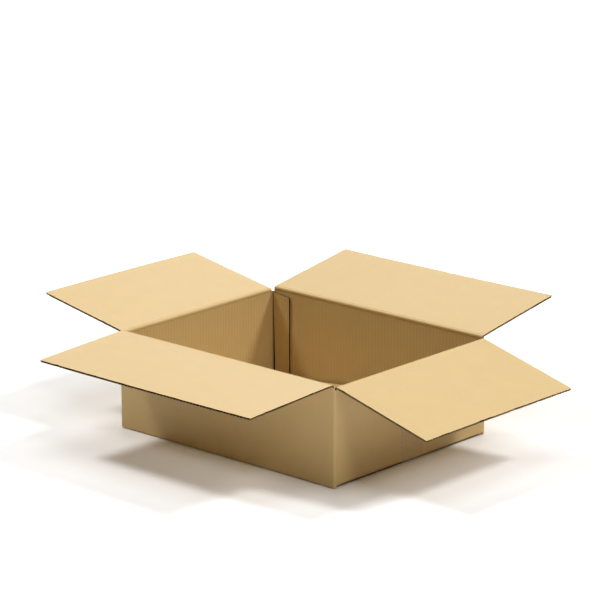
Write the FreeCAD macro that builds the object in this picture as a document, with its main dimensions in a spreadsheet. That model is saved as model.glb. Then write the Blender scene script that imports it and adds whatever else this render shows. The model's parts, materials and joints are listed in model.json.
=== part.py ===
import FreeCAD, Part
import Sketcher
import math
import os

# Open cardboard box
# One creased sheet of fluted board makes the walls and the floor.
# Four top flaps stand open on the sheet's upper creases.
# X runs along the long walls, Y along the short walls, Z up from the floor.

SIZES = [
    # The box, over its outer faces
    ("box_length", 436.0),
    ("box_width", 347.0),
    ("crease_height", 153.4),
    ("end_crease_drop", 3.2),
    ("board_thickness", 3.0),
    ("crease_radius", 3.0),
    # The flaps, from the crease to the free edge
    ("flap_length", 172.0),
    ("flap_slot", 10.0),
    ("hinge_gap", 0.15),
    ("crease_side_gap", 0.5),
    # Angles of the top flaps above level, as they lie open
    ("front_flap_rise", -2.9),
    ("right_flap_rise", -15.0),
    ("left_flap_rise", 10.0),
    ("back_flap_rise", 9.5),
    # The fluted middle of the board
    ("flute_pitch", 6.5),
    ("liner_thickness", 0.25),
    ("flute_wall", 0.2),
    ("flute_tip", 0.16),
    ("flute_stop", 6.0),
    ("floor_flute_depth", 30.0),
    # The floor
    ("floor_flap_length", 172.4),
    ("left_floor_rise", 6.3),
    ("right_floor_rise", 5.2),
    # The glued seam at the back left corner
    ("seam_tab_width", 36.0),
    ("seam_tab_bottom", 11.0),
    ("seam_tab_top", 146.5),
    ("seam_tab_slant", 4.0),
    # The tape over the floor seam
    ("tape_width", 50.0),
    ("tape_thickness", 0.1),
    ("tape_climb", 72.0),
    ("tape_lift", 0.02),
    ("tape_wrap", 45.0),
]

doc = FreeCAD.newDocument("open_cardboard_box")
sheet = doc.addObject("Spreadsheet::Sheet", "sizes")
for row, (alias, value) in enumerate(SIZES, start=1):
    cell = "A" + str(row)
    sheet.set(cell, str(value))
    sheet.setAlias(cell, alias)
doc.recompute()


# A measure keeps a number together with the formula that ties it to the sheet.
class Measure:
    def __init__(self, value, formula):
        self.value = float(value)
        self.formula = formula

    def __add__(self, other):
        other = measure(other)
        return Measure(self.value + other.value, f"({self.formula} + {other.formula})")

    def __sub__(self, other):
        other = measure(other)
        return Measure(self.value - other.value, f"({self.formula} - {other.formula})")

    def __mul__(self, other):
        other = measure(other)
        return Measure(self.value * other.value, f"({self.formula} * {other.formula})")

    def __truediv__(self, other):
        other = measure(other)
        return Measure(self.value / other.value, f"({self.formula} / {other.formula})")

    def __neg__(self):
        return Measure(-self.value, f"(0 - {self.formula})")


def measure(number):
    if isinstance(number, Measure):
        return number
    return Measure(number, f"({float(number)})")


def sine(angle):
    return Measure(math.sin(math.radians(angle.value)), f"sin({angle.formula})")


def cosine(angle):
    return Measure(math.cos(math.radians(angle.value)), f"cos({angle.formula})")


def whole(number):
    return Measure(math.floor(number.value), f"floor({number.formula})")


size = {alias: Measure(sheet.get(alias), "sizes." + alias) for alias, value in SIZES}

zero = measure(0)
half_length = size["box_length"] / 2
half_width = size["box_width"] / 2
board = size["board_thickness"]
bend = size["crease_radius"]
crease_top = size["crease_height"]
end_crease_top = crease_top - size["end_crease_drop"]
long_flap_half = half_length - size["flap_slot"] / 2
short_flap_half = half_width - size["flap_slot"] / 2
long_crease_half = long_flap_half + size["crease_side_gap"]
short_crease_half = short_flap_half + size["crease_side_gap"]
# The left wall is one board narrower, as it folds inside the back wall.
left_middle = -board / 2
left_flap_half = short_flap_half - board / 2
left_crease_half = short_crease_half - board / 2


# Sketching and padding
def new_body(name):
    body = doc.addObject("PartDesign::Body", name)
    body.Label = name
    return body


def origin_feature(body, role):
    for feature in body.Origin.OriginFeatures:
        if feature.Role == role:
            return feature
    raise RuntimeError("no origin feature " + role)


# The sketch stands off its plane by an offset, may start higher up the plane,
# and may lean about the plane's own first axis.
def new_sketch(body, name, role, offset=None, height=None, lean=None):
    sketch = body.newObject("Sketcher::SketchObject", name)
    sketch.AttachmentSupport = (origin_feature(body, role), [""])
    sketch.MapMode = "FlatFace"
    offset = measure(offset or 0)
    height = measure(height or 0)
    lean = measure(lean or 0)
    sketch.AttachmentOffset = FreeCAD.Placement(
        FreeCAD.Vector(0, height.value, offset.value), FreeCAD.Rotation(0, 0, lean.value)
    )
    vector = f"create(<<vector>>; 0; {height.formula}; {offset.formula})"
    angles = f"create(<<rotation>>; 0; 0; {lean.formula})"
    sketch.setExpression("AttachmentOffset", f"create(<<placement>>; {vector}; {angles})")
    return sketch


def flat(point):
    return FreeCAD.Vector(point[0].value, point[1].value, 0)


# Each corner is an (x, y) pair of measures.
# A bend names the corner it starts from, its centre and its radius.
def outline(sketch, corners, bends=None):
    bends = bends or {}
    corners = [(measure(x), measure(y)) for x, y in corners]
    count = len(corners)
    first = sketch.GeometryCount
    start_end = []
    for index in range(count):
        start = flat(corners[index])
        end = flat(corners[(index + 1) % count])
        if index not in bends:
            sketch.addGeometry(Part.LineSegment(start, end), False)
            start_end.append((1, 2))
            continue
        centre = flat([measure(part) for part in bends[index][0]])
        radius = measure(bends[index][1])
        leave = start - centre
        arrive = end - centre
        anticlockwise = leave.x * arrive.y - leave.y * arrive.x > 0
        if not anticlockwise:
            leave, arrive = arrive, leave
        circle = Part.Circle(centre, FreeCAD.Vector(0, 0, 1), radius.value)
        from_angle = math.atan2(leave.y, leave.x)
        to_angle = math.atan2(arrive.y, arrive.x)
        sketch.addGeometry(Part.ArcOfCircle(circle, from_angle, to_angle), False)
        start_end.append((1, 2) if anticlockwise else (2, 1))
        held = sketch.addConstraint(
            Sketcher.Constraint("Radius", first + index, radius.value)
        )
        sketch.setExpression(f"Constraints[{held}]", radius.formula)
    for index in range(count):
        follower = (index + 1) % count
        sketch.addConstraint(
            Sketcher.Constraint(
                "Coincident",
                first + index,
                start_end[index][1],
                first + follower,
                start_end[follower][0],
            )
        )
        for kind, place in zip(("DistanceX", "DistanceY"), corners[index]):
            held = sketch.addConstraint(
                Sketcher.Constraint(
                    kind, -1, 1, first + index, start_end[index][0], place.value
                )
            )
            sketch.setExpression(f"Constraints[{held}]", place.formula)


def pad_both_ways(body, name, sketch, length):
    pad = body.newObject("PartDesign::Pad", name)
    pad.Profile = sketch
    pad.SideType = "Symmetric"
    pad.Length = length.value
    pad.setExpression("Length", length.formula)
    body.Tip = pad
    return pad


def pad_one_way(body, name, sketch, length):
    pad = body.newObject("PartDesign::Pad", name)
    pad.Profile = sketch
    pad.Length = length.value
    pad.setExpression("Length", length.formula)
    body.Tip = pad
    return pad


def pocket(body, name, sketch, length, reversed_way=False):
    cut = body.newObject("PartDesign::Pocket", name)
    cut.Profile = sketch
    cut.Length = length.value
    cut.setExpression("Length", length.formula)
    cut.Reversed = reversed_way
    body.Tip = cut
    return cut


# The two triangular cells of one flute, cut from the free edge inwards,
# then repeated along that edge.
def cut_flutes(body, name, sketch, middle, half_edge, underside, depth, axis, back=False):
    pitch = size["flute_pitch"]
    wall = size["flute_wall"]
    liner = size["liner_thickness"]
    tip = size["flute_tip"]
    count = whole((half_edge * 2 - board) / pitch)
    first = middle - (pitch * (count + 0.5)) / 2
    low = underside + liner
    high = underside + board - liner
    upright = [
        (first + wall, low),
        (first + pitch - wall, low),
        (first + pitch / 2, high - tip),
    ]
    hanging = [(first + pitch / 2 + wall, high)]
    hanging.append((first + pitch, low + tip))
    hanging.append((first + pitch * 1.5 - wall, high))
    outline(sketch, upright)
    outline(sketch, hanging)
    cells = pocket(body, name + "_cells", sketch, depth, back)
    cells.Refine = False
    row = doc.addObject("PartDesign::LinearPattern", name + "_row")
    body.addObject(row)
    row.Originals = [cells]
    row.Direction = (origin_feature(body, axis), [""])
    span = pitch * (count - 1)
    row.Length = span.value
    row.setExpression("Length", span.formula)
    row.Refine = False
    row.Occurrences = int(count.value)
    row.setExpression("Occurrences", count.formula)
    body.Tip = row
    return row


def place(body, x, y, z, turn, rise):
    rotation = FreeCAD.Rotation(turn, -rise.value, 0)
    base = FreeCAD.Vector(x.value, y.value, z.value)
    body.Placement = FreeCAD.Placement(base, rotation)
    vector = f"create(<<vector>>; {x.formula}; {y.formula}; {z.formula})"
    angles = f"create(<<rotation>>; {turn}; 0 - {rise.formula}; 0)"
    body.setExpression("Placement", f"create(<<placement>>; {vector}; {angles})")


# Top flaps
# Each is drawn flat: the crease along Y at the origin, the free edge at +X,
# the outer liner underneath. The crease edge is mitred so that the flap can
# fold flat over the box and stand or hang outside it.
def build_flap(name, half_width_of_flap):
    body = new_body(name)
    section = new_sketch(body, name + "_section", "XZ_Plane")
    gap = size["hinge_gap"]
    reach = size["flap_length"]
    outline(
        section,
        [(gap * 2, 0), (reach, 0), (reach, board), (board + gap, board), (gap * 2, gap)],
    )
    pad_both_ways(body, name + "_board", section, half_width_of_flap * 2)
    cells = new_sketch(body, name + "_flutes", "YZ_Plane", reach)
    depth = reach - size["flute_stop"]
    cut_flutes(body, name, cells, zero, half_width_of_flap, zero, depth, "Y_Axis")
    return body


front_flap = build_flap("front_flap", long_flap_half)
place(front_flap, zero, -half_width, crease_top, -90, size["front_flap_rise"])
back_flap = build_flap("back_flap", long_flap_half)
place(back_flap, zero, half_width, crease_top, 90, size["back_flap_rise"])
right_flap = build_flap("right_flap", short_flap_half)
place(right_flap, half_length, zero, end_crease_top, 0, size["right_flap_rise"])
left_flap = build_flap("left_flap", left_flap_half)
place(left_flap, -half_length, left_middle, end_crease_top, 180, size["left_flap_rise"])

# Walls and floor, one folded sheet
box_body = new_body("box_body")


# The section of one wall and the floor flap folded in from its foot.
# side is -1 or +1, the side of the box that the wall stands on.
def folded_panel(sketch, side, outer, foot, top, rise):
    lean = sine(rise)
    level = cosine(rise)
    tip = size["floor_flap_length"]
    foot_centre = (outer - bend, foot + bend)
    inner_foot = foot + board * 2 - bend * level + board * lean
    toe = (
        foot_centre[0] - bend * lean,
        foot_centre[1] - bend * level,
    )
    far_low = (toe[0] - (tip - bend) * level, toe[1] + (tip - bend) * lean)
    far_high = (far_low[0] + board * lean, far_low[1] + board * level)
    points = [
        (outer, top - size["hinge_gap"]),
        (outer, foot + bend),
        toe,
        far_low,
        far_high,
        (outer - board, inner_foot),
        (outer - board, top - board - size["hinge_gap"]),
    ]
    bends = {1: (foot_centre, bend)}
    if side < 0:
        points = [(-measure(x), measure(y)) for x, y in points]
        bends = {1: ((-foot_centre[0], foot_centre[1]), bend)}
    outline(sketch, points, bends)


left_rise = size["left_floor_rise"]
right_rise = size["right_floor_rise"]
for name, role, middle, side, outer, foot, top, rise, half in [
    ("front", "YZ_Plane", zero, -1, half_width, zero, crease_top, zero, long_crease_half),
    ("back", "YZ_Plane", zero, 1, half_width, zero, crease_top, zero, long_crease_half),
    ("left", "XZ_Plane", -left_middle, -1, half_length, board, end_crease_top, left_rise,
     left_crease_half),
    ("right", "XZ_Plane", zero, 1, half_length, board, end_crease_top, right_rise,
     short_crease_half),
]:
    section = new_sketch(box_body, name + "_panel_section", role, middle)
    folded_panel(section, side, outer, foot, top, rise)
    pad_both_ways(box_body, name + "_panel", section, half * 2)

# The strips of wall that pass round the corners between the flap slots
corner_plan = new_sketch(box_body, "corner_plan", "XY_Plane", bend)
for x_side, y_side in [(-1, -1), (1, -1), (1, 1)]:
    outer_x = half_length * x_side
    outer_y = half_width * y_side
    outline(
        corner_plan,
        [
            (long_crease_half * x_side, outer_y),
            (outer_x - bend * x_side, outer_y),
            (outer_x, outer_y - bend * y_side),
            (outer_x, short_crease_half * y_side),
            (outer_x - board * x_side, short_crease_half * y_side),
            (outer_x - board * x_side, outer_y - board * y_side),
            (long_crease_half * x_side, outer_y - board * y_side),
        ],
        {1: ((outer_x - bend * x_side, outer_y - bend * y_side), bend)},
    )
# At the seam the back wall ends in a cut edge and the left wall bends inside it.
tab_outer = half_width - board
outline(
    corner_plan,
    [
        (-long_crease_half, half_width),
        (-(half_length - bend), half_width),
        (-(half_length - bend), tab_outer),
        (-half_length, tab_outer - bend),
        (-half_length, left_middle + left_crease_half),
        (-(half_length - board), left_middle + left_crease_half),
        (-(half_length - board), tab_outer - board),
        (-(half_length - board * 1.25), tab_outer - board),
        (-(half_length - board * 1.25), tab_outer),
        (-long_crease_half, tab_outer),
    ],
    {2: ((-(half_length - bend), tab_outer - bend), bend)},
)
corner_height = end_crease_top + size["end_crease_drop"] / 2 - bend
pad_one_way(box_body, "corners", corner_plan, corner_height)

# The tab that carries the glue, folded from the left wall inside the back wall
tab_plan = new_sketch(box_body, "seam_tab_plan", "XZ_Plane", -tab_outer)
tab_near = -(half_length - board)
tab_far = -(half_length - board) + size["seam_tab_width"]
outline(
    tab_plan,
    [
        (tab_near, size["seam_tab_bottom"]),
        (tab_far, size["seam_tab_bottom"] + size["seam_tab_slant"]),
        (tab_far, size["seam_tab_top"] - size["seam_tab_slant"]),
        (tab_near, size["seam_tab_top"]),
    ],
)
pad_one_way(box_body, "seam_tab", tab_plan, board)

# Tape along the floor seam, up both end walls
bottom_tape = new_body("bottom_tape")
film = size["tape_thickness"]
lift = size["tape_lift"]
tape_section = new_sketch(bottom_tape, "tape_section", "XZ_Plane")
wrap = size["tape_wrap"]
edge_x = long_crease_half + lift
wrap_x = half_length - bend
wrap_z = board + bend


# The tape's line from one end wall to the other, at a distance from the board
def tape_line(distance, low):
    turn_x = wrap_x + (bend + distance) * cosine(wrap)
    turn_z = wrap_z - (bend + distance) * sine(wrap)
    wall_x = half_length + distance
    right = [(edge_x + low * 0.4, film - low), (turn_x, turn_z)]
    right += [(wall_x, wrap_z), (wall_x, size["tape_climb"])]
    left = [(-x, z) for x, z in reversed(right)]
    return left + right


inner_line = tape_line(lift, measure(0))
outer_line = tape_line(lift + film, film)
outer_line.reverse()
left_turn = (-wrap_x, wrap_z)
right_turn = (wrap_x, wrap_z)
tape_bends = {
    1: (left_turn, bend + lift),
    5: (right_turn, bend + lift),
    9: (right_turn, bend + lift + film),
    13: (left_turn, bend + lift + film),
}
outline(tape_section, inner_line + outer_line, tape_bends)
pad_both_ways(bottom_tape, "tape_film", tape_section, size["tape_width"])

# The board is pressed in by the tape's own thickness under the seam.
press_plan = new_sketch(box_body, "tape_press_plan", "XY_Plane")
press_x = long_crease_half + 1
press_y = size["tape_width"] / 2 + lift
outline(
    press_plan,
    [(-press_x, -press_y), (press_x, -press_y), (press_x, press_y), (-press_x, press_y)],
)
pocket(box_body, "tape_press", press_plan, film + lift, reversed_way=True)

# The flutes open along the free edges of the floor flaps.
deep = size["floor_flute_depth"]
floor_tip = size["floor_flap_length"]
for side, name, back in [(-1, "front_floor", True), (1, "back_floor", False)]:
    plane_y = (half_width - floor_tip) * side
    cells = new_sketch(box_body, name + "_flutes", "XZ_Plane", -plane_y)
    cut_flutes(box_body, name, cells, zero, long_crease_half, zero, deep, "X_Axis", back)
for side, name, back, rise, middle, half in [
    (-1, "left_floor", False, left_rise, left_middle, left_crease_half),
    (1, "right_floor", True, right_rise, zero, short_crease_half),
]:
    run = floor_tip - bend
    tip_x = half_length - bend - bend * sine(rise) - run * cosine(rise)
    tip_z = board + bend - bend * cosine(rise) + run * sine(rise)
    cells = new_sketch(
        box_body, name + "_flutes", "YZ_Plane", tip_x * side, tip_z, rise * side
    )
    cut_flutes(box_body, name, cells, middle, half, zero, deep, "Y_Axis", back)

# The tab's cut top shows its flutes too.
tab_cells = new_sketch(box_body, "seam_tab_flutes", "XY_Plane", size["seam_tab_top"])
tab_middle = (tab_near + tab_far) / 2
tab_half = size["seam_tab_width"] / 2
tab_inner = tab_outer - board
cut_flutes(
    box_body, "seam_tab_top", tab_cells, tab_middle, tab_half, tab_inner, deep, "X_Axis"
)

doc.recompute()

# Each piece goes out under its own name.
PIECES = [box_body, front_flap, right_flap, back_flap, left_flap, bottom_tape]
for item in doc.Objects:
    if "Invalid" in item.State or "Error" in item.State:
        raise RuntimeError("not computed: " + item.Name)
os.makedirs("parts", exist_ok=True)
for piece in PIECES:
    shape = piece.Shape
    if shape.isNull() or not shape.isValid():
        raise RuntimeError("no sound solid for " + piece.Label)
    shape.exportStep("parts/" + piece.Label + ".step")
    print(piece.Label, len(shape.Solids), round(shape.Volume), shape.BoundBox)
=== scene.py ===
import json
import math
import bmesh
import bpy
from mathutils import Matrix, Vector, noise


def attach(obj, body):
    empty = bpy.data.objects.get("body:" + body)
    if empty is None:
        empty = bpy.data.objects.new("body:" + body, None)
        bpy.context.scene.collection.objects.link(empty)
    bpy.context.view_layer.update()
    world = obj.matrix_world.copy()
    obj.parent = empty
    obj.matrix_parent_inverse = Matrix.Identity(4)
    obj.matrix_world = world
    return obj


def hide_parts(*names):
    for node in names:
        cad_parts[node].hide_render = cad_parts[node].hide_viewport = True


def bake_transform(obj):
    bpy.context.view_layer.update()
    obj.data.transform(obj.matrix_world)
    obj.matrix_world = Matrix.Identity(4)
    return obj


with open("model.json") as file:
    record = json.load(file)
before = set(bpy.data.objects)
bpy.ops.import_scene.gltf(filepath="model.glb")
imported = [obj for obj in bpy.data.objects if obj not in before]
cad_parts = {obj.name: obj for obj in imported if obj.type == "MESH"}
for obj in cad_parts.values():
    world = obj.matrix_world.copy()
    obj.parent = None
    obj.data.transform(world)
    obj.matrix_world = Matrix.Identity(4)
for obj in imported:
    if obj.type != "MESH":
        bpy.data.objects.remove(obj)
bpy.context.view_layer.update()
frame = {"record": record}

# the box over its outer faces, in metres: X along the long walls, Y along the short ones
carton = {
    "halfLength": 0.218,
    "halfWidth": 0.1735,
    "flapReach": 0.172,       # top flaps, from crease to free edge
    "flapSlot": 0.010,        # open slot between neighbouring flaps
    "creaseSideGap": 0.0005,  # the walls' panels reach this far into the slot
    "flutePitch": 0.0065,     # from one flute of the board to the next
}

# where each top flap turns, from the frame
hinge = {joint["child"]: Vector(joint["pos_m"]) for joint in frame["record"]["behaviour"]["joints"]}

halfLength = carton["halfLength"]
halfWidth = carton["halfWidth"]


# small helpers

def linearColour(hexText):
    channels = []
    for start in (1, 3, 5):
        value = int(hexText[start:start + 2], 16) / 255
        channels.append(value / 12.92 if value <= 0.04045 else ((value + 0.055) / 1.055) ** 2.4)
    return (*channels, 1.0)


def addNode(tree, kind, settings=None, links=None):
    node = tree.nodes.new(kind)
    for key, value in (settings or {}).items():
        if isinstance(key, int) or key in node.inputs:
            node.inputs[key].default_value = value
        else:
            setattr(node, key, value)
    for key, source in (links or {}).items():
        tree.links.new(source, node.inputs[key])
    return node


def newMaterial(name):
    material = bpy.data.materials.new(name)
    material.use_nodes = True
    material.node_tree.nodes.clear()
    return material, material.node_tree


def compassVector(turn, rise):
    # 0 is toward the front wall, 90 toward the right one
    turn, rise = math.radians(turn), math.radians(rise)
    return Vector((math.sin(turn) * math.cos(rise), -math.cos(turn) * math.cos(rise), math.sin(rise)))


def arcPoints(centre, radius, fromAngle, toAngle, count):
    points = []
    for index in range(count + 1):
        angle = math.radians(fromAngle + (toAngle - fromAngle) * index / count)
        points.append((centre[0] + radius * math.cos(angle), centre[1] + radius * math.sin(angle)))
    return points


def sweep(bm, outline, step, count):
    # a flat outline pushed along step in count even slices
    face = bm.faces.new([bm.verts.new(point) for point in outline])
    for index in range(count):
        pushed = bmesh.ops.extrude_face_region(bm, geom=[face])
        verts = [item for item in pushed["geom"] if isinstance(item, bmesh.types.BMVert)]
        bmesh.ops.translate(bm, verts=verts, vec=Vector(step) / count)
        face = [item for item in pushed["geom"] if isinstance(item, bmesh.types.BMFace)][0]


def gridSheet(bm, low, high, height, cutsX, cutsY):
    # level squares between two corners, at one height
    made = bmesh.ops.create_grid(bm, x_segments=cutsX, y_segments=cutsY, size=0.5)
    size = Vector((high[0] - low[0], high[1] - low[1], 1.0))
    middle = Vector(((low[0] + high[0]) / 2, (low[1] + high[1]) / 2, height))
    bmesh.ops.scale(bm, verts=made["verts"], vec=size)
    bmesh.ops.translate(bm, verts=made["verts"], vec=middle)
    return made["verts"], list({face for vert in made["verts"] for face in vert.link_faces})


def finishPiece(name, bm, materials, smoothBelow=30):
    bmesh.ops.recalc_face_normals(bm, faces=bm.faces)
    mesh = bpy.data.meshes.new(name)
    bm.to_mesh(mesh)
    bm.free()
    for material in materials:
        mesh.materials.append(material)
    mesh.shade_smooth()
    mesh.set_sharp_from_angle(angle=math.radians(smoothBelow))
    piece = bpy.data.objects.new(name, mesh)
    bpy.context.scene.collection.objects.link(piece)
    return piece


print("stage: materials")

kraft = {
    "dark": "#C6A66B",
    "pale": "#CFB278",
    "fibre": "#8A6738",
    "mottle": 34.0,           # cloudy patches of about 30 mm
    "fleck": 0.45,            # how much the darkest fibres show
    "roughness": 0.50,
    "gloss": 0.5,
    "sheen": 0.04,
    "waveBand": 0.31416,      # length of one band of the wave texture at scale 1
    "smooth": (0.012, 0.3),   # outer liner: depth of the ribs' painted shade, and how far they wander
    "ribsAndShade": (0.075, 0.9),   # inner liner: deeper ribs with more painted shade, as the light falls across them there
}


# kraft liner: unbleached softwood paper pressed hot over the flutes, so it is warm and matt
# with flecks of fibre, shines softly at a low angle, and lets the flutes print through as ribs
def makeKraft(name, axis, rib, wander):
    material, tree = newMaterial(name)
    place = addNode(tree, "ShaderNodeTexCoord").outputs["Object"]

    # cloudy pulp
    cloud = addNode(tree, "ShaderNodeTexNoise",
                    {"Scale": kraft["mottle"], "Detail": 5.0, "Roughness": 0.6}, {"Vector": place})
    tone = addNode(tree, "ShaderNodeMix",
                   {"data_type": "RGBA", 6: linearColour(kraft["dark"]), 7: linearColour(kraft["pale"])},
                   {0: cloud.outputs["Fac"]})

    # fibres lie across the flutes, about 2 mm long and 0.3 mm thick
    grain = (500.0, 3000.0, 3000.0) if axis == "X" else (3000.0, 500.0, 3000.0)
    stretch = addNode(tree, "ShaderNodeMapping", {"Scale": grain}, {"Vector": place})
    fibre = addNode(tree, "ShaderNodeTexNoise", {"Scale": 1.0, "Detail": 3.0, "Roughness": 0.55},
                    {"Vector": stretch.outputs["Vector"]})
    fleck = addNode(tree, "ShaderNodeMapRange",
                    {"From Min": 0.60, "From Max": 0.80, "To Min": 0.0, "To Max": kraft["fleck"]},
                    {"Value": fibre.outputs["Fac"]})
    flecked = addNode(tree, "ShaderNodeMix", {"data_type": "RGBA", 7: linearColour(kraft["fibre"])},
                      {0: fleck.outputs["Result"], 6: tone.outputs[2]})

    # ribs over the flutes: painted shade darkens the colour in each rib's trough, and a bump shapes them
    ribs = addNode(tree, "ShaderNodeTexWave",
                   {"wave_type": "BANDS", "bands_direction": axis, "wave_profile": "SIN",
                    "Scale": kraft["waveBand"] / carton["flutePitch"], "Distortion": wander, "Detail": 2.0,
                    "Detail Scale": 1.2}, {"Vector": place})
    shade = addNode(tree, "ShaderNodeMapRange", {"To Min": 1.0 - rib, "To Max": 1.0},
                    {"Value": ribs.outputs["Fac"]})
    ribsAndShade = addNode(tree, "ShaderNodeMix", {"data_type": "RGBA", "blend_type": "MULTIPLY", 0: 1.0},
                     {6: flecked.outputs[2], 7: shade.outputs["Result"]})

    rough = addNode(tree, "ShaderNodeMapRange",
                    {"From Min": 0.3, "From Max": 0.7, "To Min": kraft["roughness"] - 0.02,
                     "To Max": kraft["roughness"] + 0.04}, {"Value": cloud.outputs["Fac"]})
    ribBump = addNode(tree, "ShaderNodeBump", {"Strength": 6.0 * rib, "Distance": 0.00012},
                      {"Height": ribs.outputs["Fac"]})
    fibreBump = addNode(tree, "ShaderNodeBump", {"Strength": 0.35, "Distance": 0.00005},
                        {"Height": fibre.outputs["Fac"], "Normal": ribBump.outputs["Normal"]})
    shader = addNode(tree, "ShaderNodeBsdfPrincipled",
                     {"Specular IOR Level": kraft["gloss"], "IOR": 1.5,
                      "Sheen Weight": kraft["sheen"], "Sheen Roughness": 0.5},
                     {"Base Color": ribsAndShade.outputs[2], "Roughness": rough.outputs["Result"],
                      "Normal": fibreBump.outputs["Normal"]})
    addNode(tree, "ShaderNodeOutputMaterial", None, {"Surface": shader.outputs["BSDF"]})
    return material


rawPaper = {
    # cut liner ends: raw paper's own darker brown, and mostly painted shade of the dark band along the cut
    # edges
    "cutLinerEdgeAndShade": ("#4A371F", "#8A6A40"),
    # fluted paper: very dark, painted shade of the hollows between the flutes
    "flutedPaperPaintedShade": ("#20140A", "#4A331A"),
}


# raw paper, cut or torn: rougher than the face and fuzzy with loose fibre
def makeRawPaper(name):
    material, tree = newMaterial(name)
    dark, pale = rawPaper[name]
    place = addNode(tree, "ShaderNodeTexCoord").outputs["Object"]
    fuzz = addNode(tree, "ShaderNodeTexNoise", {"Scale": 900.0, "Detail": 4.0}, {"Vector": place})
    tone = addNode(tree, "ShaderNodeMix",
                   {"data_type": "RGBA", 6: linearColour(dark), 7: linearColour(pale)},
                   {0: fuzz.outputs["Fac"]})
    bump = addNode(tree, "ShaderNodeBump", {"Strength": 0.6, "Distance": 0.0001},
                   {"Height": fuzz.outputs["Fac"]})
    shader = addNode(tree, "ShaderNodeBsdfPrincipled", {"Roughness": 0.9, "Specular IOR Level": 0.15},
                     {"Base Color": tone.outputs[2], "Normal": bump.outputs["Normal"]})
    addNode(tree, "ShaderNodeOutputMaterial", None, {"Surface": shader.outputs["BSDF"]})
    return material


packingTape = {"film": "#E4D2C0", "least": 0.03, "most": 0.10, "roughness": 0.3}


# clear packing tape: stretched film with acrylic glue, thin and smooth,
# a shade paler than bare board and hazy where small bubbles kept the glue off
def makeTape(name):
    material, tree = newMaterial(name)
    place = addNode(tree, "ShaderNodeTexCoord").outputs["Object"]
    bubbles = addNode(tree, "ShaderNodeTexNoise", {"Scale": 260.0, "Detail": 3.0}, {"Vector": place})
    haze = addNode(tree, "ShaderNodeMapRange",
                   {"From Min": 0.35, "From Max": 0.75, "To Min": packingTape["least"],
                    "To Max": packingTape["most"]}, {"Value": bubbles.outputs["Fac"]})
    bump = addNode(tree, "ShaderNodeBump", {"Strength": 0.3, "Distance": 0.0001},
                   {"Height": bubbles.outputs["Fac"]})
    shader = addNode(tree, "ShaderNodeBsdfPrincipled",
                     {"Base Color": linearColour(packingTape["film"]), "IOR": 1.49,
                      "Roughness": packingTape["roughness"]},
                     {"Alpha": haze.outputs["Result"], "Normal": bump.outputs["Normal"]})
    addNode(tree, "ShaderNodeOutputMaterial", None, {"Surface": shader.outputs["BSDF"]})
    return material


smoothAlongX, smoothAlongY, linerEnd, flutedPaperShaded, ribShadedAlongX, ribShadedAlongY = range(6)
boardMaterials = [
    makeKraft("kraftLinerAlongX", "X", *kraft["smooth"]),
    makeKraft("kraftLinerAlongY", "Y", *kraft["smooth"]),
    makeRawPaper("cutLinerEdgeAndShade"),
    makeRawPaper("flutedPaperPaintedShade"),
    makeKraft("ribShadedLinerAlongX", "X", *kraft["ribsAndShade"]),
    makeKraft("ribShadedLinerAlongY", "Y", *kraft["ribsAndShade"]),
]


print("stage: top flaps")

# single wall board with B flutes
board = {
    "thick": 0.003,
    "liner": 0.00030,
    "medium": 0.00022,        # the fluted paper
    "root": 0.006,            # pressed flat beside a crease
    "heel": 0.0003,           # a top flap's mitre starts this far from the fold
    "fray": 0.0008,           # unevenness of a cut liner
    "frayScale": 220,         # a slip every 5 mm or so
    "nick": 0.0034,           # depth of a torn nick
    "nickScale": 75,          # a nick every 13 mm or so
    "nickAbove": 0.30,        # where the noise is under this, nothing is torn
    "waveStart": 0.005,       # the fluted paper starts this far from the crease
    "waveSide": 0.0004,       # and stops this far inside the liners' sides
    "waveEnd": 0.0003,        # and this far inside their free edge
    "waveFray": 0.0012,       # unevenness of its cut sides
    "waveFrayScale": 210,
    "waveFrayBand": 0.0009,   # only this close to the sides
    "tipWarp": 0.5,           # share of the warp that goes on to the free edge
    "endBand": 0.004,         # upright faces this near the free edge are cut paper
    "sideBand": 0.003,
    "slices": 24,             # mesh: along a crease
    "rows": 48,               # mesh: liner squares from crease to free edge
    "floorRows": 14,
    "column": 0.003,          # mesh: width of a liner square
    "wavePoints": 8,          # mesh: points in one flute
    "waveRows": 10,
    "snap": 1e-6,             # closer than this counts as on the edge
    "smoothBelow": 35,
}
thick = board["thick"]


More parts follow.
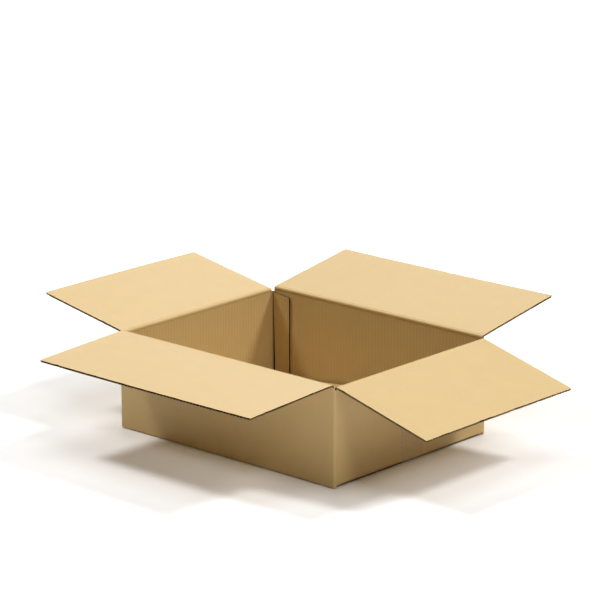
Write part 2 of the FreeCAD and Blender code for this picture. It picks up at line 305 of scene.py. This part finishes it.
# one flat board: two liners with the wave of paper between them
# the crease is at x = 0, the free edge at x = reach, the outer liner underneath
def addBoard(reach, low, high, seed, warp, mitred):
    part = bmesh.new()
    liner = board["liner"]
    width = high - low
    middle = (low + high) / 2
    root = board["root"]
    shift = Vector((seed * 1.7, seed * 0.9, seed))  # each board reads its own part of the noise

    # the pressed strip beside the crease, mitred where it meets the wall
    heel, instep = (board["heel"], thick) if mitred else (0.0, 0.0)
    sunk = liner / 3
    outline = [(heel, low, sunk), (root, low, sunk), (root, low, thick - sunk), (instep, low, thick - sunk)]
    sweep(part, outline, (0, width, 0), board["slices"])

    # liners, with the slips and nicks of the cutting rule along their edges
    rows = board["rows"] if mitred else board["floorRows"]
    columns = int(width / board["column"])
    for bottom, near in ((0.0, heel), (thick - liner, instep)):
        verts, faces = gridSheet(part, (near, low), (reach, high), bottom, rows, columns)
        for vert in verts:
            slip = -abs(noise.noise(vert.co * board["frayScale"] + shift)) * board["fray"]
            torn = noise.noise(vert.co * board["nickScale"] + shift) - board["nickAbove"]
            slip -= max(0.0, torn) * board["nick"]
            if min(vert.co.y - low, high - vert.co.y) < board["snap"]:
                vert.co.y += slip if vert.co.y > middle else -slip
            if reach - vert.co.x < board["snap"]:
                vert.co.x += slip
        raised = bmesh.ops.extrude_face_region(part, geom=faces)
        lifted = [item for item in raised["geom"] if isinstance(item, bmesh.types.BMVert)]
        bmesh.ops.translate(part, verts=lifted, vec=(0, 0, liner))

    # the cut ends of the liners are raw paper, coloured darker with painted shade along the edge
    part.normal_update()
    for face in part.faces:
        centre = face.calc_center_median()
        toSide = min(centre.y - low, high - centre.y)
        atEdge = reach - centre.x < board["endBand"] or toSide < board["sideBand"]
        if atEdge and abs(face.normal.z) < 0.5:
            face.material_index = linerEnd

    # the wave, cut a little short of the liners, in very dark paper: painted shade of the hollows between
    # the flutes
    before = set(part.faces)
    segments = int(width / carton["flutePitch"] * board["wavePoints"])
    verts, faces = gridSheet(part, (board["waveStart"], low + board["waveSide"]),
                             (reach - board["waveEnd"], high - board["waveSide"]),
                             0, board["waveRows"], segments)
    swing = thick / 2 - liner - board["medium"] / 2
    for vert in verts:
        vert.co.z = thick / 2 + swing * math.sin(2 * math.pi * (vert.co.y - low) / carton["flutePitch"])
        if min(vert.co.y - low, high - vert.co.y) < board["waveFrayBand"]:
            vert.co.y += noise.noise(vert.co * board["waveFrayScale"] + shift) * board["waveFray"]
    bmesh.ops.recalc_face_normals(part, faces=faces)
    bmesh.ops.solidify(part, geom=faces, thickness=board["medium"])
    for face in part.faces:
        if face not in before:
            face.material_index = flutedPaperShaded

    # the whole flap is bowed a little
    for vert in part.verts:
        along = vert.co.x / reach
        across = (vert.co.y - middle) / width
        vert.co.z += warp * along * (1 - 4 * across * across) + warp * board["tipWarp"] * along * along
    mesh = bpy.data.meshes.new("boardPart")
    part.to_mesh(mesh)
    part.free()
    return mesh


def placeMesh(bm, mesh, matrix):
    mesh.transform(matrix)
    bm.from_mesh(mesh)
    bpy.data.meshes.remove(mesh)


# each top flap: how it lies in the photograph and how it is warped
flaps = {
    "front_flap": {"rise": -2.9, "turn": -90, "warp": -0.0007, "seed": 3},
    "right_flap": {"rise": -15.0, "turn": 0, "warp": 0.0007, "seed": 11},
    "left_flap": {"rise": 10.0, "turn": 180, "warp": 0.0009, "seed": 23},
    "back_flap": {"rise": 9.5, "turn": 90, "warp": -0.0008, "seed": 31},
}
slot = carton["flapSlot"] / 2
spans = {
    "front_flap": (-(halfLength - slot), halfLength - slot),
    "back_flap": (-(halfLength - slot), halfLength - slot),
    "right_flap": (-(halfWidth - slot), halfWidth - slot),
    "left_flap": (-(halfWidth - slot - thick), halfWidth - slot),  # shorter by one board at the seam
}


def flapPlace(name, rise):
    return (Matrix.Translation(hinge[name]) @ Matrix.Rotation(math.radians(flaps[name]["turn"]), 4, "Z")
            @ Matrix.Rotation(math.radians(-rise), 4, "Y"))


def kraftSide(name):
    return smoothAlongX if name in ("front_flap", "back_flap") else smoothAlongY


for name, lie in flaps.items():
    low, high = spans[name]
    bm = bmesh.new()
    placeMesh(bm, addBoard(carton["flapReach"], low, high, lie["seed"], lie["warp"], True),
              flapPlace(name, lie["rise"]))
    for face in bm.faces:
        if face.material_index == smoothAlongX:
            face.material_index = kraftSide(name)
    piece = finishPiece(name.replace("_f", "F"), bm, boardMaterials, board["smoothBelow"])
    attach(piece, name)
    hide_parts(name)


print("stage: creases")

# the board pressed thin over each fold: share of the way round from wall to flap,
# and how far the inner face then stands off the fold line, in millimetres
crease = {
    "profile": [(0.0, 4.24), (0.07, 4.02), (0.16, 3.84), (0.28, 3.70), (0.40, 3.62), (0.50, 3.50),
                (0.60, 3.28), (0.68, 2.92), (0.75, 2.42), (0.82, 2.42), (0.89, 3.02), (0.95, 3.62),
                (1.0, 4.24)],
    "wallAngle": 225.0,
    "flapAngle": 45.0,
    "smoothBelow": 60,
}


# a point at this angle and reach from the fold line
def spoke(angle, reach, y=0.0):
    turned = math.radians(angle)
    return Vector((math.cos(turned) * reach, y, math.sin(turned) * reach))


for name, lie in flaps.items():
    low, high = spans[name]
    firstAngle = crease["wallAngle"]
    lastAngle = crease["flapAngle"] + lie["rise"]
    outline = [spoke(firstAngle + (lastAngle - firstAngle) * share, reach / 1000, low)
               for share, reach in crease["profile"]]
    outline += [spoke(angle, board["heel"], low) for angle in (lastAngle, firstAngle)]
    bm = bmesh.new()
    sweep(bm, outline, (0, high - low, 0), board["slices"])
    place = flapPlace(name, 0)
    bmesh.ops.transform(bm, matrix=place, verts=bm.verts)
    bm.normal_update()
    for face in bm.faces:
        endOn = abs(face.normal.dot(place.to_3x3() @ Vector((0, 1, 0)))) > 0.9
        face.material_index = linerEnd if endOn else kraftSide(name)
    piece = finishPiece(name.replace("_flap", "Crease"), bm, boardMaterials, crease["smoothBelow"])
    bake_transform(piece)


print("stage: walls and floor")

wall = {
    "bend": 0.003,            # outer radius of a folded crease
    "bow": 0.0005,            # how far a wall bows in at its middle
    "longBand": 0.0045,       # what lies this near inside a long wall bows with it
    "endBand": 0.0015,
    "cornerLow": 0.0016,      # the corner strips start at this height, inside the folded feet
    "cornerDip": 0.0022,      # the corners between the slots stop below the end creases
    "brimGap": 0.0002,        # the mitre is cut this far under the fold
    "foldCord": 0.00024,      # radius of the outer liner where it turns
    "cordInset": 0.00002,
    "liftBelow": 0.03,        # a wall's foot is lifted only below this height
    "floorReach": 0.1724,     # floor flaps, from outer wall face to free edge
    "overlap": 0.0002,        # the open board starts this far inside the pressed root
    "endFlapAbove": 0.0031,   # floor faces above this height are on the end flaps
    "snap": 0.00001,
    "cornerSteps": 6,         # mesh: round a corner
    "footSteps": 8,           # mesh: round the fold at a wall's foot
    "slices": 8,              # mesh: up a wall
    "columns": 20,            # mesh: along a wall
    "cordSides": 10,
    "smoothBelow": 40,
}

# the floor flaps: the front and back ones lie flat, the end ones rest on them and spring up a little
# lift: how far the foot of the wall stands off the floor, from its low end to the lift's end
floorFlaps = {
    "front": {"rise": 0.0, "foot": 0.0, "seed": 41, "lift": 0.0012, "liftEnd": 0.214},
    "back": {"rise": 0.0, "foot": 0.0, "seed": 43},
    "left": {"rise": 6.3, "foot": 0.003, "seed": 47},
    "right": {"rise": 5.2, "foot": 0.003, "seed": 53, "lift": 0.0028, "liftEnd": -0.025},
}

walls = bmesh.new()
bend = wall["bend"]
innerX = halfLength - thick
innerY = halfWidth - thick
endTop = hinge["right_flap"].z
longTop = hinge["front_flap"].z
cornerTop = endTop - wall["cornerDip"]
longCrease = halfLength - slot + carton["creaseSideGap"]
shortCrease = halfWidth - slot + carton["creaseSideGap"]
leftCrease = shortCrease - thick


def raiseCorner(plan):
    sweep(walls, [(x, y, wall["cornerLow"]) for x, y in plan],
          (0, 0, cornerTop - wall["cornerLow"]), wall["slices"])


# strips of wall that go round the corners, between the slots
for sideX, sideY in ((-1, -1), (1, -1), (1, 1)):
    centre = ((halfLength - bend) * sideX, (halfWidth - bend) * sideY)
    fromAngle = 90 if sideY > 0 else -90
    toAngle = 0 if sideX > 0 else math.copysign(180, sideY)
    plan = [(longCrease * sideX, halfWidth * sideY)]
    plan += arcPoints(centre, bend, fromAngle, toAngle, wall["cornerSteps"])
    plan += [(halfLength * sideX, shortCrease * sideY), (innerX * sideX, shortCrease * sideY),
             (innerX * sideX, innerY * sideY), (longCrease * sideX, innerY * sideY)]
    raiseCorner(plan)

# the glued corner: the glue tab is folded from the left wall behind the back one
seam = {
    "notch": 0.00075,         # how far the left wall steps in beside the back wall's cut edge
    "tabWidth": 0.036,
    "tabBottom": 0.011,
    "tabTop": 0.1465,
    "slant": 0.004,
    "grooveTop": 0.0028,      # width of the groove where the tab folds
    "grooveFoot": 0.0060,
    "grooveInset": 0.0002,    # its floor, a thin dark sheet of painted shade, lies this far off the back wall
    "grooveDepth": 0.0004,
    "grooveBand": 0.0008,     # faces this near the back wall take the dark fluted paper: the groove's sheet of painted shade
}

# there the back wall ends in a cut edge and the left wall bends in behind it
notchX = -(innerX - seam["notch"])
plan = [(-longCrease, halfWidth), (-(halfLength - bend), halfWidth), (-(halfLength - bend), innerY)]
plan += arcPoints((-(halfLength - bend), innerY - bend), bend, 90, 180, wall["cornerSteps"])[1:]
plan += [(-halfLength, leftCrease), (-innerX, leftCrease), (-innerX, innerY - thick),
         (notchX, innerY - thick), (notchX, innerY), (-longCrease, innerY)]
raiseCorner(plan)


# the outer face of a wall's foot stands off the floor
def liftFoot(verts, lie, outer, low):
    for vert in verts:
        share = (vert.co.y - low) / (lie["liftEnd"] - low)
        onFace = vert.co.x > outer - bend + wall["snap"]
        if onFace and 0 < share < 1 and vert.co.z < wall["liftBelow"]:
            fade = 1 - vert.co.z / wall["liftBelow"]
            vert.co.z += lie["lift"] * fade * math.sin(math.pi * share) ** 0.5


# each wall runs up to its mitred crease and folds into the floor below
panels = {
    "front": {"turn": -90, "outer": halfWidth, "top": longTop, "low": -longCrease, "high": longCrease},
    "back": {"turn": 90, "outer": halfWidth, "top": longTop, "low": -longCrease, "high": longCrease},
    "left": {"turn": 180, "outer": halfLength, "top": endTop, "low": -leftCrease, "high": shortCrease},
    "right": {"turn": 0, "outer": halfLength, "top": endTop, "low": -shortCrease, "high": shortCrease},
}
for name, panel in panels.items():
    turn = Matrix.Rotation(math.radians(panel["turn"]), 4, "Z")
    outer, top, low, high = panel["outer"], panel["top"], panel["low"], panel["high"]
    lie = floorFlaps[name]
    foot = lie["foot"]
    rise = math.radians(lie["rise"])
    before = set(walls.verts)
    arc = arcPoints((outer - bend, foot + bend), bend, 0, -90 - lie["rise"], wall["footSteps"])
    along = Vector((-math.cos(rise), 0, math.sin(rise)))
    up = Vector((math.sin(rise), 0, math.cos(rise)))
    ankle = Vector((arc[-1][0], low, arc[-1][1])) + along * board["root"]
    innerFoot = foot + 2 * thick - bend * math.cos(rise) + thick * math.sin(rise)
    brim = top - wall["brimGap"]
    slices = wall["slices"]
    outline = [(outer, low, brim + (foot + bend - brim) * index / slices) for index in range(slices)]
    outline += [(x, low, z) for x, z in arc]
    outline += [tuple(ankle), tuple(ankle + up * thick)]
    outline += [(outer - thick, low, innerFoot + (brim - thick - innerFoot) * index / slices)
                for index in range(slices + 1)]
    sweep(walls, outline, (0, high - low, 0), wall["columns"])
    middle = Matrix.Translation((outer - wall["cordInset"], (low + high) / 2, top))
    bmesh.ops.create_cone(walls, cap_ends=True, segments=wall["cordSides"], radius1=wall["foldCord"],
                          radius2=wall["foldCord"], depth=high - low - 2 * carton["creaseSideGap"],
                          matrix=middle @ Matrix.Rotation(math.radians(90), 4, "X"))
    added = [vert for vert in walls.verts if vert not in before]
    if "lift" in lie:
        liftFoot(added, lie, outer, low)
    bmesh.ops.transform(walls, matrix=turn, verts=added)

    # the open board of the floor flap, its outer liner underneath
    reach = wall["floorReach"] - bend - board["root"] + wall["overlap"]
    start = ankle - along * wall["overlap"]
    facing = Matrix(((along.x, 0, up.x, start.x), (0, 1, 0, 0),
                     (along.z, 0, up.z, start.z), (0, 0, 0, 1)))
    placeMesh(walls, addBoard(reach, low, high, lie["seed"], 0.0, False), turn @ facing)

# the glue tab, with a groove where it folds: a thin sheet of painted shade lies in the groove
tabFar = -innerX + seam["tabWidth"]
before = set(walls.faces)
sweep(walls, [
    (-innerX + seam["grooveFoot"], innerY, seam["tabBottom"]),
    (tabFar, innerY, seam["tabBottom"] + seam["slant"]),
    (tabFar, innerY, seam["tabTop"] - seam["slant"]),
    (-innerX + seam["grooveTop"], innerY, seam["tabTop"]),
], (0, -thick, 0), 1)
sweep(walls, [
    (-innerX, innerY - seam["grooveInset"], seam["tabBottom"]),
    (-innerX + seam["grooveFoot"], innerY - seam["grooveInset"], seam["tabBottom"]),
    (-innerX + seam["grooveFoot"], innerY - seam["grooveInset"], seam["tabTop"]),
    (-innerX, innerY - seam["grooveInset"], seam["tabTop"]),
], (0, -seam["grooveDepth"], 0), 1)
walls.normal_update()
# the groove's sheet and the tab's cut ends take the very dark fluted paper, painted shade; the tab's top
# and bottom take the cut-liner brown
for face in walls.faces:
    if face not in before:
        inGroove = face.calc_center_median().y > innerY - seam["grooveBand"]
        if inGroove or abs(face.normal.x) > 0.5:
            face.material_index = flutedPaperShaded
        elif abs(face.normal.z) > 0.5:
            face.material_index = linerEnd

# the walls bow in a little, most in the middle of each
for vert in walls.verts:
    x, y, z = vert.co
    share = wall["bow"] * math.sin(math.pi * min(max(z / longTop, 0), 1))
    if abs(y) > innerY - wall["longBand"] and abs(x) < innerX:
        vert.co.y += math.copysign(share * math.cos(math.pi * x / 2 / innerX) ** 0.5, -y)
    if abs(x) > innerX - wall["endBand"] and abs(y) < innerY - wall["longBand"]:
        vert.co.x += math.copysign(share * math.cos(math.pi * y / 2 / innerY) ** 0.5, -x)

# faint ribs outside; inside, deeper ribs with more painted shade
bmesh.ops.recalc_face_normals(walls, faces=walls.faces)
for face in walls.faces:
    if face.material_index != smoothAlongX:
        continue
    centre = face.calc_center_median()
    if abs(face.normal.z) > 0.6:
        upward = face.normal.z > 0
        endFlap = centre.z > wall["endFlapAbove"]
        face.material_index = (ribShadedAlongY if endFlap else ribShadedAlongX) if upward else smoothAlongX
    else:
        lengthways = abs(face.normal.y) > abs(face.normal.x)
        inside = face.normal.x * centre.x + face.normal.y * centre.y < 0
        if inside:
            face.material_index = ribShadedAlongX if lengthways else ribShadedAlongY
        else:
            face.material_index = smoothAlongX if lengthways else smoothAlongY
wallsAndFloor = finishPiece("wallsAndFloor", walls, boardMaterials, wall["smoothBelow"])
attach(wallsAndFloor, "box")
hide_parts("box_body")


print("stage: tape")

tape = {
    "halfWidth": 0.025,
    "film": 0.0001,
    "lift": 0.00002,          # it lies this far off the board
    "climb": 0.072,           # how far it runs up the end walls
    "mitre": 0.4,             # at a fold the outer face runs on by this share of the film
    "foldFrom": -45,          # the angle at which it meets the end wall's foot
    "foldSteps": 4,
    "slices": 6,
}


# one face of the tape, from the top of one climb to the other: how far it stands off the end walls,
# and how far below the film's inner face it lies
def tapeLine(distance, low):
    line = [(longCrease + tape["lift"] + low * tape["mitre"], tape["film"] - low)]
    line += arcPoints((halfLength - bend, thick + bend), bend + distance,
                      tape["foldFrom"], 0, tape["foldSteps"])
    line += [(halfLength + distance, tape["climb"])]
    return [(-x, z) for x, z in reversed(line)] + line


inner = tapeLine(tape["lift"], 0.0)
outer = tapeLine(tape["lift"] + tape["film"], tape["film"])
bm = bmesh.new()
sweep(bm, [(x, -tape["halfWidth"], z) for x, z in inner + outer[::-1]],
      (0, 2 * tape["halfWidth"], 0), tape["slices"])
floorTape = finishPiece("floorTape", bm, [makeTape("clearPackingTape")])
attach(floorTape, "box")
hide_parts("bottom_tape")


print("stage: studio")

studio = {
    "azimuth": 41.97,
    "elevation": 15.54,
    "distance": 4.632,
    "target": (-0.0042, -0.0006, 0.2071),
    "lens": 183.7,
    "clipEnd": 60,
    "lampDistance": 3,
    "ambient": 0.07,
    "floorHalf": 3.3,
    "floor": 0.90,
    "shadowLift": 0.14,       # how much the shadows are lifted a hand's breadth from the box
    "shadowReach": 0.05,      # right beside the box they stay dark
    "floorFade": (0.50, 1.40),  # from here to there, in metres, the floor fades to plain white
}

back = compassVector(studio["azimuth"], studio["elevation"])
cameraData = bpy.data.cameras.new("camera")
cameraData.lens = studio["lens"]
cameraData.clip_end = studio["clipEnd"]
camera = bpy.data.objects.new("camera", cameraData)
camera.location = Vector(studio["target"]) + back * studio["distance"]
camera.rotation_euler = (-back).to_track_quat("-Z", "Y").to_euler()
bpy.context.scene.collection.objects.link(camera)
bpy.context.scene.camera = camera

# softboxes far off: compass angle from the front, height angle, width as an angle,
# and the light on a surface that faces them
softboxes = {
    "overheadSoftbox": {"turn": 90, "rise": 84, "spread": 30, "light": 0.19},
    "leftSoftbox": {"turn": 298, "rise": 59, "spread": 11, "light": 0.49},
    "rightSoftbox": {"turn": 132, "rise": 51, "spread": 11, "light": 0.56},
    "frontSoftbox": {"turn": 71, "rise": 45, "spread": 10, "light": 0.11},
    "sideSoftbox": {"turn": 84, "rise": 31, "spread": 16, "light": 0.11},
    "backSoftbox": {"turn": 218, "rise": 24, "spread": 30, "light": 0.22},
}


def addSoftbox(name, box):
    toward = compassVector(box["turn"], box["rise"])
    lampData = bpy.data.lights.new(name, "SUN")
    lampData.angle = math.radians(box["spread"])
    lampData.energy = box["light"] * math.pi
    lamp = bpy.data.objects.new(name, lampData)
    lamp.location = toward * studio["lampDistance"]
    lamp.rotation_euler = (-toward).to_track_quat("-Z", "Y").to_euler()
    bpy.context.scene.collection.objects.link(lamp)


for name, box in softboxes.items():
    addSoftbox(name, box)


def seenRays(tree):
    # 1 for rays from the camera, straight or through something clear
    path = addNode(tree, "ShaderNodeLightPath")
    return addNode(tree, "ShaderNodeMath", {"operation": "MAXIMUM"},
                   {0: path.outputs["Is Camera Ray"], 1: path.outputs["Is Transmission Ray"]}).outputs[0]


# the floor is matt white paper that takes the shadows; where it is seen it glows: none right beside the
# box, a painted lift of the shadows from a hand's breadth out, and plain white far off
floorMaterial, tree = newMaterial("whitePaperFloor")
shade = (studio["floor"], studio["floor"], studio["floor"], 1)
matt = addNode(tree, "ShaderNodeBsdfDiffuse", {"Color": shade})
place = addNode(tree, "ShaderNodeTexCoord").outputs["Object"]
away = addNode(tree, "ShaderNodeVectorMath", {"operation": "LENGTH"}, {0: place})
far = addNode(tree, "ShaderNodeMapRange",
              {"From Min": studio["floorFade"][0], "From Max": studio["floorFade"][1]},
              {"Value": away.outputs["Value"]})
apart = addNode(tree, "ShaderNodeVectorMath", {"operation": "ABSOLUTE"}, {0: place})
beside = addNode(tree, "ShaderNodeVectorMath", {"operation": "SUBTRACT", 1: (halfLength, halfWidth, 0)},
                 {0: apart.outputs["Vector"]})
sides = addNode(tree, "ShaderNodeSeparateXYZ", None, {0: beside.outputs["Vector"]})
nearest = addNode(tree, "ShaderNodeMath", {"operation": "MAXIMUM"},
                  {0: sides.outputs["X"], 1: sides.outputs["Y"]})
near = addNode(tree, "ShaderNodeMapRange",
               {"From Min": 0.0, "From Max": studio["shadowReach"], "To Max": studio["shadowLift"]},
               {"Value": nearest.outputs[0]})
lift = addNode(tree, "ShaderNodeMath", {"operation": "MAXIMUM"},
               {0: far.outputs["Result"], 1: near.outputs["Result"]})
level = addNode(tree, "ShaderNodeMath", {"operation": "MULTIPLY"}, {0: seenRays(tree), 1: lift.outputs[0]})
glow = addNode(tree, "ShaderNodeEmission", {"Color": (1, 1, 1, 1)}, {"Strength": level.outputs[0]})
both = addNode(tree, "ShaderNodeAddShader", None, {0: matt.outputs[0], 1: glow.outputs[0]})
addNode(tree, "ShaderNodeOutputMaterial", None, {"Surface": both.outputs[0]})
bm = bmesh.new()
bmesh.ops.create_grid(bm, x_segments=1, y_segments=1, size=studio["floorHalf"])
floorPlane = finishPiece("floorPlane", bm, [floorMaterial])

world = bpy.data.worlds.new("studioWorld")
bpy.context.scene.world = world
world.use_nodes = True
tree = world.node_tree
tree.nodes.clear()
strength = addNode(tree, "ShaderNodeMapRange", {"To Min": studio["ambient"], "To Max": 1.0},
                   {"Value": seenRays(tree)})
background = addNode(tree, "ShaderNodeBackground", {"Color": (1, 1, 1, 1)},
                     {"Strength": strength.outputs["Result"]})
addNode(tree, "ShaderNodeOutputWorld", None, {"Surface": background.outputs[0]})
bpy.context.scene.view_settings.view_transform = "Standard"

print("stage: finish")
